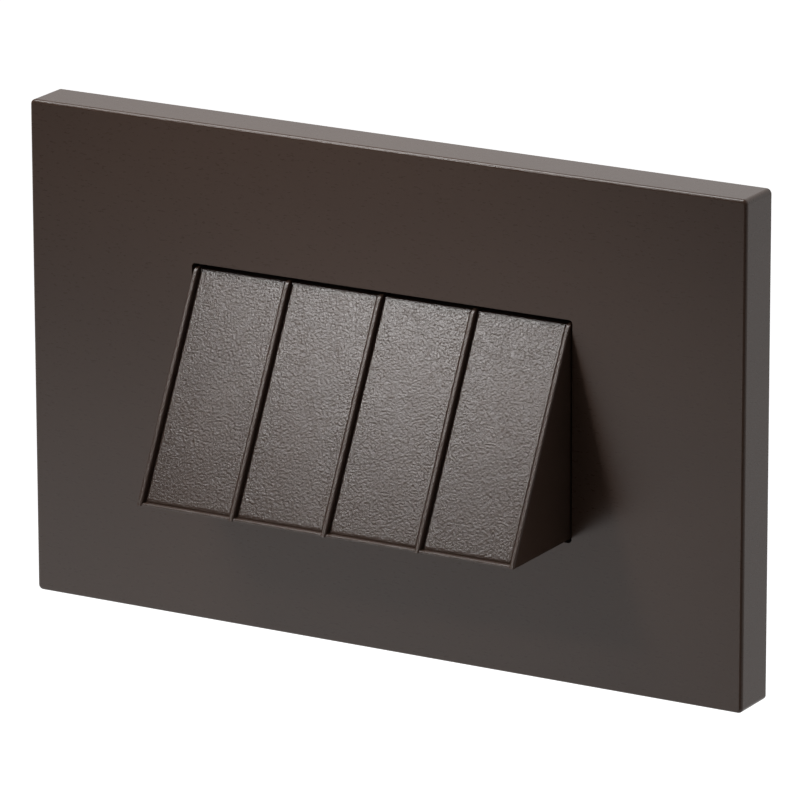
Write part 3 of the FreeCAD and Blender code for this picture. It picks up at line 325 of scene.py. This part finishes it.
def foam(name, dark, light, cell=0.6):
    """Closed-cell foam: small cells with darker walls between them."""
    made = Finish(name, IOR=1.4)
    walls = made.cells(cell)
    made.colour(walls, (0.0, light), (0.9, dark))
    made.gloss(made.clouds(cell), 0.7, 0.9)
    made.relief(walls, 0.06)
    return made.material


def board_mask(name, mask, track, pad):
    """Solder mask over copper tracks, which show through as lighter bands with soft edges."""
    made = Finish(name, IOR=1.5, Coat_Weight=0.25, Coat_Roughness=0.15)
    warp = made.clouds((7.0, 7.0, 1.6), detail=0.0)
    fine = made.clouds(0.2, detail=1.0)
    made.colour(warp, (0.44, mask), (0.46, track), (0.54, track), (0.56, mask), (0.70, mask), (0.71, pad))
    made.gloss(fine, 0.28, 0.4)
    made.relief(warp, 0.03)
    return made.material


def wells(name, body, phosphor, pitch=8.0, radius=1.18, height=7.0, inner=0.15, outer=0.05):
    """White LED bodies with a round phosphor well in each, which repeats along X.

    The tone follows the distance from a well's axis, and its edge fades from inner millimetres
    inside the radius to outer millimetres outside it.
    """
    made = Finish(name, IOR=1.45)
    parts = made.node("ShaderNodeSeparateXYZ")
    made.join(made.stretched((1.0, 1.0, 1.0)), parts.inputs["Vector"])
    wrap = made.node("ShaderNodeMath", operation="WRAP")
    made.join(parts.outputs["X"], wrap.inputs[0])
    wrap.inputs[1].default_value, wrap.inputs[2].default_value = pitch, 0.0
    across = made.combine(wrap.outputs["Value"], -pitch / 2)
    up = made.combine(parts.outputs["Z"], -height)
    squares = made.combine(made.combine(across, across, "MULTIPLY"), made.combine(up, up, "MULTIPLY"))
    reach = made.combine(squares, 0.5, "POWER")
    edge = made.span(reach, 0.0, 1.0, start=radius - inner, end=radius + outer)
    made.colour(edge, (0.3, phosphor), (0.7, body))
    grain = made.clouds(0.15, detail=2.0)
    made.gloss(grain, 0.3, 0.5)
    made.relief(grain, 0.01)
    return made.material


def frosted(name):
    """The frosted lens: a fine ground surface that lets light through."""
    made = Finish(name, IOR=1.49, Transmission_Weight=0.55)
    ground = made.clouds(0.12, detail=2.0, rough=0.7)
    made.colour(made.clouds(9.0), (0.3, (0.84, 0.86, 0.86)), (0.7, (0.90, 0.91, 0.90)))
    made.gloss(ground, 0.45, 0.6)
    made.relief(ground, 0.012)
    return made.material


# ---- shapes -------------------------------------------------------------------------------------

def packed(name):
    """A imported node's object, or an error that names the missing node."""
    if name not in NODES:
        raise RuntimeError(f"the packed model has no {name}")
    return NODES[name]


def dress(material, *names):
    """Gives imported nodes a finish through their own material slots."""
    for name in names:
        for held in packed(name).material_slots:
            held.material = material


def piece(name, mesh, material, body, replaces=()):
    """A finished mesh as a piece that rides with a body."""
    mesh.normal_update()
    data = bpy.data.meshes.new(name)
    mesh.to_mesh(data)
    mesh.free()
    data.materials.append(material)
    made = bpy.data.objects.new(name, data)
    bpy.context.scene.collection.objects.link(made)
    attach(made, body)
    if replaces:
        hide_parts(*replaces)
    return made


def wrinkle_height(style, place):
    """Height of the wrinkled coat above its mean at a place."""
    at = place / style.wrinkle_size
    bend = BEND_REACH * noise.noise_vector(at * BEND_RATE)
    fine = noise.noise(at * FINE_RATE + FINE_SHIFT)
    return style.wrinkle * (MAIN_SHARE * noise.noise(at + bend) + FINE_SHARE * fine)


def edge_drop(inwards, length, depth):
    """How far a rounded edge falls off: its whole depth at the rim, and nothing a length inwards."""
    near = max(0.0, 1.0 - inwards / length)
    return depth * (1.0 - math.sqrt(max(0.0, 1.0 - near * near)))


def wrinkled_panel(style, left, right):
    """One panel's coat: a fine grid on the hood's slope, wrinkled, with its rim turned into the casting."""
    slope = math.tan(style.lean)
    points = [v.co for v in packed("hood").data.vertices]
    front = min(point.y for point in points)
    bottom = min(point.z for point in points if point.y < front + SAME_PLACE)
    normal = Vector((0, -math.cos(style.lean), math.sin(style.lean)))
    up = Vector((0, math.sin(style.lean), math.cos(style.lean)))
    low_z, high_z = bottom + style.lip, bottom + style.height - style.top_step
    depth = (style.rib_proud - style.skin) / math.cos(style.lean)
    foot = Vector(((left + right) / 2, front + style.lip * slope + depth, low_z))
    length = (high_z - low_z) / math.cos(style.lean)
    width = right - left
    mesh = bmesh.new()
    bmesh.ops.create_grid(mesh, x_segments=round(width / style.cell), y_segments=round(length / style.cell),
                          size=0.5)
    place = Matrix((Vector((width, 0, 0)), up * length, normal)).transposed().to_4x4()
    place.translation = foot + up * length / 2
    bmesh.ops.transform(mesh, matrix=place, verts=mesh.verts)
    for vert in mesh.verts:
        above_foot = (vert.co - foot).dot(up)
        from_side = width / 2 - abs(vert.co.x - foot.x)
        drop = edge_drop(above_foot, style.foot_round, style.skin)
        drop += edge_drop(from_side, style.side_round, style.side_round)
        vert.co += normal * (wrinkle_height(style, vert.co) - drop)
    rim = bmesh.ops.extrude_edge_only(mesh, edges=[e for e in mesh.edges if e.is_boundary])
    buried = foot - normal * RIM_SKINS * style.skin
    for vert in (v for v in rim["geom"] if isinstance(v, bmesh.types.BMVert)):
        vert.co -= normal * (vert.co - buried).dot(normal)
    bmesh.ops.holes_fill(mesh, edges=[e for e in mesh.edges if e.is_boundary], sides=0)
    bmesh.ops.recalc_face_normals(mesh, faces=mesh.faces)
    for face in mesh.faces:
        face.smooth = len(face.verts) == 4 and face.normal.dot(normal) > FACING
    return mesh


def add_core(mesh, style, axis_x, end_y):
    """The shank's plain core, from inside the neck to its chamfered end."""
    core = bmesh.ops.create_cone(mesh, cap_ends=True, segments=CORE_SIDES, radius1=style.minor,
                                 radius2=style.minor, depth=end_y + CORE_SINK)
    middle = Matrix.Translation((axis_x, (end_y - CORE_SINK) / 2, 0))
    bmesh.ops.transform(mesh, matrix=middle @ Matrix.Rotation(math.pi / 2, 4, "X"), verts=core["verts"])
    end = [e for e in mesh.edges
           if all(v.co.y > end_y - AT_END for v in e.verts) and len(e.link_faces) == 2]
    bmesh.ops.bevel(mesh, geom=end, offset=END_CHAMFER, affect="EDGES", segments=1, profile=0.5,
                    material=-1)


def add_thread(mesh, style, axis_x, end_y):
    """One unbroken helical thread, swept from its section and closed at both ends."""
    root, crest = ROOT_HALF * style.pitch, CREST_HALF * style.pitch
    sunk = style.minor - THREAD_SINK
    section = [(sunk, -root), (style.major, -crest), (style.major, crest), (sunk, root)]
    start = style.pitch / 2
    corners = [mesh.verts.new((axis_x + out, start + along, 0)) for out, along in section]
    edges = [mesh.edges.new((a, b)) for a, b in zip(corners, corners[1:] + corners[:1])]
    turns = int((end_y - PLAIN_END - style.pitch) / style.pitch)
    bmesh.ops.spin(mesh, geom=corners + edges, cent=(axis_x, 0, 0), axis=(0, 1, 0),
                   dvec=(0, style.pitch / style.steps, 0), angle=2 * math.pi * turns,
                   steps=turns * style.steps, use_merge=False)
    bmesh.ops.holes_fill(mesh, edges=[e for e in mesh.edges if e.is_boundary], sides=len(section))


def threaded_screw(style, side):
    """A wall-box screw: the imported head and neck, then a core and one unbroken helical thread."""
    low, high = SCREW_BOX[side]
    axis_x = (low.x + high.x) / 2
    mesh = bmesh.new()
    mesh.from_mesh(packed(f"box_screw_{side}").data)
    bmesh.ops.remove_doubles(mesh, verts=mesh.verts, dist=SAME_PLACE)
    cut = bmesh.ops.bisect_plane(mesh, geom=mesh.verts[:] + mesh.edges[:] + mesh.faces[:], dist=ON_PLANE,
                                 plane_co=(0, -NECK_CUT, 0), plane_no=(0, 1, 0), clear_outer=True)
    ring = [e for e in cut["geom_cut"] if isinstance(e, bmesh.types.BMEdge)]
    bmesh.ops.holes_fill(mesh, edges=ring, sides=0)
    add_core(mesh, style, axis_x, high.y)
    add_thread(mesh, style, axis_x, high.y)
    bmesh.ops.recalc_face_normals(mesh, faces=mesh.faces)
    return mesh


# ---- operators ----------------------------------------------------------------------------------

class StepLightOperator:
    """What the operators share: undo, and one call that makes their part of the light or the studio."""
    bl_options = {"REGISTER", "UNDO"}

    def execute(self, context):
        self.make(context.scene)
        return {"FINISHED"}


class STEPLIGHT_OT_plate(StepLightOperator, bpy.types.Operator):
    """Give the cover plate its satin bronze coat"""
    bl_idname = "step_light.plate"
    bl_label = "Cover plate"

    def make(self, scene):
        dress(satin_bronze(scene.step_light_plate), "cover_plate")


class STEPLIGHT_OT_hood(StepLightOperator, bpy.types.Operator):
    """Give the hood its powder coat and lay the wrinkled coat on its panels"""
    bl_idname = "step_light.hood"
    bl_label = "Hood and panels"

    def make(self, scene):
        style = scene.step_light_hood
        dress(powder_bronze(style, "powder_bronze", rough=(0.31, 0.39), bump=0.05), "hood")
        coat = powder_bronze(style, "panel_bronze", rough=(0.28, 0.36), bump=0.02)
        half = style.width / 2
        pitch = (style.width - style.rib_width) / (style.ribs - 1)
        for number in range(style.ribs - 1):
            left = -half + number * pitch + style.rib_width
            right = left + pitch - style.rib_width
            mesh = wrinkled_panel(style, left + style.groove, right - style.seam)
            piece(f"hood_panel_{number + 1}", mesh, coat, "fixture")


class STEPLIGHT_OT_optics(StepLightOperator, bpy.types.Operator):
    """Finish the frosted lens, its gasket and the white reflector"""
    bl_idname = "step_light.optics"
    bl_label = "Lens and reflector"

    def make(self, scene):
        dress(frosted("frosted_lens"), "lens")
        dress(moulded("clear_silicone", (0.50, 0.50, 0.48), (0.60, 0.60, 0.58), (0.45, 0.6)), "lens_gasket",
              "housing_seal")
        dress(moulded("white_liner", (0.80, 0.80, 0.77), (0.87, 0.87, 0.85), (0.5, 0.65)), "reflector",
              "led_header")


class STEPLIGHT_OT_mounting(StepLightOperator, bpy.types.Operator):
    """Finish the mounting frame, its latch springs and the gaskets"""
    bl_idname = "step_light.mounting"
    bl_label = "Mounting frame"

    def make(self, scene):
        zinc = brushed_metal("zinc_plate", (0.46, 0.47, 0.48), (0.70, 0.71, 0.72), rough=(0.28, 0.42),
                             spangle=5.0)
        dress(zinc, "mounting_frame", "latch_rivets")
        dress(brushed_metal("spring_steel", (0.38, 0.39, 0.41), (0.60, 0.61, 0.63), along=(0.1, 0.1, 4.0)),
              "latch_springs")
        dress(foam("foam_rubber", (0.018, 0.018, 0.019), (0.045, 0.045, 0.047)), "wall_gasket",
              "hood_gasket")
        dress(moulded("grommet_rubber", (0.020, 0.020, 0.021), (0.032, 0.032, 0.033), (0.55, 0.7)),
              "lead_grommet")


class STEPLIGHT_OT_screws(StepLightOperator, bpy.types.Operator):
    """Make the threaded wall-box screws and finish the other screws and washers"""
    bl_idname = "step_light.screws"
    bl_label = "Screws and washers"

    def make(self, scene):
        steel = brushed_metal("screw_zinc", (0.46, 0.46, 0.44), (0.68, 0.67, 0.64), along=(0.5, 0.5, 0.5),
                              rough=(0.24, 0.36))
        for side in ("left", "right"):
            piece(f"threaded_screw_{side}", threaded_screw(scene.step_light_screws, side), steel,
                  f"{side}_screw", [f"box_screw_{side}"])
        dress(steel, "led_board_screws", "driver_board_screws", "terminal_screws")
        dress(brushed_metal("black_oxide", (0.030, 0.030, 0.031), (0.070, 0.069, 0.067),
                            along=(0.6, 0.6, 0.6), rough=(0.38, 0.52)), "hood_screws")
        dress(brushed_metal("green_passivate", (0.07, 0.27, 0.10), (0.13, 0.42, 0.17),
                            along=(0.6, 0.6, 0.6)), "ground_screw")
        dress(moulded("red_fibre", (0.25, 0.030, 0.018), (0.40, 0.065, 0.035), (0.6, 0.8), grain=0.3,
                      depth=0.03), "screw_washer_left", "screw_washer_right")


class STEPLIGHT_OT_light_engine(StepLightOperator, bpy.types.Operator):
    """Finish the heat spreader, LED board and leads"""
    bl_idname = "step_light.light_engine"
    bl_label = "Light engine"

    def make(self, scene):
        dress(brushed_metal("milled_aluminium", (0.62, 0.63, 0.64), (0.80, 0.81, 0.82),
                            along=(8.0, 0.2, 0.2), rough=(0.28, 0.4)), "heat_spreader")
        dress(moulded("thermal_pad", (0.36, 0.39, 0.44), (0.46, 0.49, 0.54), (0.6, 0.8)), "thermal_pad")
        dress(board_mask("white_mask", (0.80, 0.82, 0.80), (0.86, 0.86, 0.83), (0.78, 0.72, 0.58)),
              "led_board")
        dress(wells("led_phosphor", (0.86, 0.86, 0.83), (0.86, 0.62, 0.08)), "led_chips")
        for tint, dark, light in (("red", (0.42, 0.012, 0.012), (0.60, 0.025, 0.022)),
                                  ("black", (0.010, 0.010, 0.010), (0.022, 0.022, 0.022))):
            dress(moulded(f"{tint}_insulation", dark, light, (0.32, 0.45), depth=0.004), f"led_lead_{tint}")
        dress(moulded("green_insulation", (0.02, 0.20, 0.045), (0.04, 0.31, 0.08), (0.32, 0.45),
                      depth=0.004), "ground_lead")


class STEPLIGHT_OT_driver(StepLightOperator, bpy.types.Operator):
    """Finish the driver housing, its board and the parts on it"""
    bl_idname = "step_light.driver"
    bl_label = "Driver"

    def make(self, scene):
        dress(moulded("black_nylon", (0.020, 0.020, 0.021), (0.034, 0.034, 0.036), (0.42, 0.58), grain=0.35,
                      depth=0.02), "driver_housing")
        dress(board_mask("green_mask", (0.012, 0.10, 0.030), (0.025, 0.17, 0.055), (0.60, 0.56, 0.48)),
              "driver_board")
        dress(moulded("ferrite", (0.050, 0.049, 0.049), (0.085, 0.083, 0.082), (0.5, 0.7), grain=0.4,
                      depth=0.02), "transformer_core", "choke")
        dress(moulded("winding_tape", (0.66, 0.42, 0.03), (0.84, 0.58, 0.06), (0.2, 0.32), grain=0.8,
                      depth=0.02), "transformer_winding")
        dress(moulded("can_sleeve", (0.010, 0.014, 0.040), (0.020, 0.026, 0.065), (0.22, 0.32), grain=0.6),
              "bulk_capacitor", "output_capacitor")
        dress(moulded("film_box", (0.60, 0.40, 0.04), (0.76, 0.54, 0.07), (0.34, 0.46)), "film_capacitor")
        dress(moulded("varistor_coat", (0.02, 0.07, 0.33), (0.04, 0.13, 0.48), (0.3, 0.42), grain=0.9,
                      depth=0.04), "varistor")
        dress(moulded("part_body", (0.014, 0.014, 0.015), (0.026, 0.026, 0.028), (0.34, 0.48)),
              "bridge_rectifier", "control_chip", "fuse")


class STEPLIGHT_OT_terminals(StepLightOperator, bpy.types.Operator):
    """Finish the terminal block, its contacts and levers"""
    bl_idname = "step_light.terminals"
    bl_label = "Terminals"

    def make(self, scene):
        dress(moulded("grey_nylon", (0.36, 0.38, 0.39), (0.46, 0.48, 0.49), (0.34, 0.46), depth=0.008),
              "terminal_block")
        dress(moulded("orange_nylon", (0.70, 0.150, 0.012), (0.86, 0.230, 0.026), (0.3, 0.42), depth=0.008),
              *[f"terminal_lever_{n}" for n in (1, 2, 3)])
        dress(brushed_metal("tinned_copper", (0.60, 0.34, 0.18), (0.80, 0.50, 0.28),
                            along=(0.15, 3.0, 0.15)), "terminal_contacts")


class STEPLIGHT_OT_stage(StepLightOperator, bpy.types.Operator):
    """Set the camera, the floor, the room light and the lamps"""
    bl_idname = "step_light.stage"
    bl_label = "Studio"

    def make(self, scene):
        style = scene.step_light_stage
        set_camera(scene, style)
        set_floor(scene, style)
        set_room(scene, style)
        lamp(scene, "key_lamp", style.key, KEY_SIZE, KEY_PLACE)
        lamp(scene, "low_lamp", style.low, LOW_SIZE, LOW_PLACE)
        spot(scene, style)
        scene.view_settings.view_transform = "Standard"


def set_camera(scene, style):
    """The camera, far off with a long lens, as in the photograph."""
    data = bpy.data.cameras.new("camera")
    data.lens = style.lens
    data.sensor_width = SENSOR_WIDTH
    data.shift_x, data.shift_y = CAMERA_SHIFT
    data.clip_start, data.clip_end = CAMERA_CLIP
    made = bpy.data.objects.new("camera", data)
    place = Matrix((CAMERA_RIGHT, CAMERA_UP, CAMERA_RIGHT.cross(CAMERA_UP))).transposed().to_4x4()
    place.translation = CAMERA_PLACE
    made.matrix_world = place
    scene.collection.objects.link(made)
    scene.camera = made


def seen_or_mirrored(finish):
    """Glow of the pale floor: one strength for camera rays, one for glossy and transmission rays."""
    path = finish.node("ShaderNodeLightPath")
    mirrored = finish.combine(path.outputs["Is Glossy Ray"], path.outputs["Is Transmission Ray"])
    return finish.combine(finish.combine(path.outputs["Is Camera Ray"], FLOOR_SEEN, "MULTIPLY"),
                          finish.combine(mirrored, FLOOR_MIRRORED, "MULTIPLY"))


def one_sided(finish):
    """Clear from behind, so that the floor doesn't hide the light from a viewer below it."""
    side, clear = finish.node("ShaderNodeNewGeometry"), finish.node("ShaderNodeBsdfTransparent")
    choice = finish.node("ShaderNodeMixShader")
    finish.join(side.outputs["Backfacing"], choice.inputs["Fac"])
    finish.join(finish.shader.outputs["BSDF"], choice.inputs[1])
    finish.join(clear.outputs["BSDF"], choice.inputs[2])
    finish.join(choice.outputs["Shader"], finish.out.inputs["Surface"])


def set_floor(scene, style):
    """A pale floor that takes the light's shadow."""
    half_x, half_y = FLOOR_HALF
    place = Matrix.Translation((0, half_y - style.floor_front, -style.floor_drop))
    mesh = bmesh.new()
    bmesh.ops.create_grid(mesh, x_segments=1, y_segments=1, size=1.0)
    bmesh.ops.transform(mesh, verts=mesh.verts, matrix=place @ Matrix.Diagonal((half_x, half_y, 1, 1)))
    data = bpy.data.meshes.new("floor")
    mesh.to_mesh(data)
    mesh.free()
    made = bpy.data.objects.new("floor", data)
    scene.collection.objects.link(made)
    paint = Finish("floor_paint", Base_Color=(*style.floor, 1.0), Roughness=0.9,
                   Emission_Color=(1.0, 1.0, 1.0, 1.0))
    paint.join(seen_or_mirrored(paint), paint.shader.inputs["Emission Strength"])
    one_sided(paint)
    data.materials.append(paint.material)


def set_room(scene, style):
    """White for the camera; for every other ray, a white back behind the wall and a dim front."""
    world = bpy.data.worlds.new("room")
    world.use_nodes = True
    tree = world.node_tree
    tree.nodes.clear()

    def add(kind):
        return tree.nodes.new(kind)

    path, place, across = add("ShaderNodeLightPath"), add("ShaderNodeTexCoord"), add("ShaderNodeVectorMath")
    across.operation = "DOT_PRODUCT"
    across.inputs[1].default_value = ROOM_BACK
    tree.links.new(place.outputs["Generated"], across.inputs[0])
    shade = add("ShaderNodeMapRange")
    for key, value in (("From Min", ROOM_FADE[0]), ("From Max", ROOM_FADE[1]), ("To Min", style.front),
                       ("To Max", style.behind)):
        shade.inputs[key].default_value = value
    tree.links.new(across.outputs["Value"], shade.inputs["Value"])
    light, seen = add("ShaderNodeBackground"), add("ShaderNodeBackground")
    for sky in (light, seen):
        sky.inputs["Color"].default_value = (1, 1, 1, 1)
    tree.links.new(shade.outputs["Result"], light.inputs["Strength"])
    choice, out = add("ShaderNodeMixShader"), add("ShaderNodeOutputWorld")
    tree.links.new(path.outputs["Is Camera Ray"], choice.inputs["Fac"])
    tree.links.new(light.outputs["Background"], choice.inputs[1])
    tree.links.new(seen.outputs["Background"], choice.inputs[2])
    tree.links.new(choice.outputs["Shader"], out.inputs["Surface"])
    scene.world = world


def lamp(scene, name, power, size, place):
    """A soft rectangular lamp that faces the middle of the light."""
    data = bpy.data.lights.new(name, "AREA")
    data.energy = power
    data.shape = "RECTANGLE"
    data.size, data.size_y = size
    made = bpy.data.objects.new(name, data)
    made.location = place
    made.rotation_mode = "QUATERNION"
    made.rotation_quaternion = (-Vector(place)).to_track_quat("-Z", "Y")
    scene.collection.objects.link(made)


def spot(scene, style):
    """A narrow soft beam on the upper part of the hood."""
    data = bpy.data.lights.new("hood_spot", "SPOT")
    data.energy = style.spot
    data.spot_size, data.spot_blend, data.shadow_soft_size = SPOT_CONE, SPOT_BLEND, SPOT_SIZE
    made = bpy.data.objects.new("hood_spot", data)
    made.location = SPOT_AIM + SPOT_BACK * SPOT_REACH
    made.rotation_mode = "QUATERNION"
    made.rotation_quaternion = (-SPOT_BACK).to_track_quat("-Z", "Y")
    scene.collection.objects.link(made)


# ---- panel and main -----------------------------------------------------------------------------

OPERATORS = (STEPLIGHT_OT_stage, STEPLIGHT_OT_plate, STEPLIGHT_OT_hood, STEPLIGHT_OT_optics,
             STEPLIGHT_OT_mounting, STEPLIGHT_OT_screws, STEPLIGHT_OT_light_engine, STEPLIGHT_OT_driver,
             STEPLIGHT_OT_terminals)


class STEPLIGHT_PT_panel(bpy.types.Panel):
    """The step light's operators and settings"""
    bl_label = "Step light"
    bl_idname = "STEPLIGHT_PT_panel"
    bl_space_type = "VIEW_3D"
    bl_region_type = "UI"
    bl_category = "Step light"

    def draw(self, context):
        for operator in OPERATORS:
            self.layout.operator(operator.bl_idname)
        for name in SETTINGS:
            box = self.layout.box()
            for prop in SETTINGS[name].__annotations__:
                box.prop(getattr(context.scene, name), prop)


def register():
    for held in (*SETTINGS.values(), *OPERATORS, STEPLIGHT_PT_panel):
        bpy.utils.register_class(held)
    for name, group in SETTINGS.items():
        setattr(bpy.types.Scene, name, PointerProperty(type=group))


def unregister():
    for name in SETTINGS:
        delattr(bpy.types.Scene, name)
    for held in reversed((*SETTINGS.values(), *OPERATORS, STEPLIGHT_PT_panel)):
        bpy.utils.unregister_class(held)


def main():
    """Makes the finishes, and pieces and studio."""
    register()
    for operator in OPERATORS:
        group, name = operator.bl_idname.split(".")
        getattr(getattr(bpy.ops, group), name)()


if __name__ == "__main__":
    main()
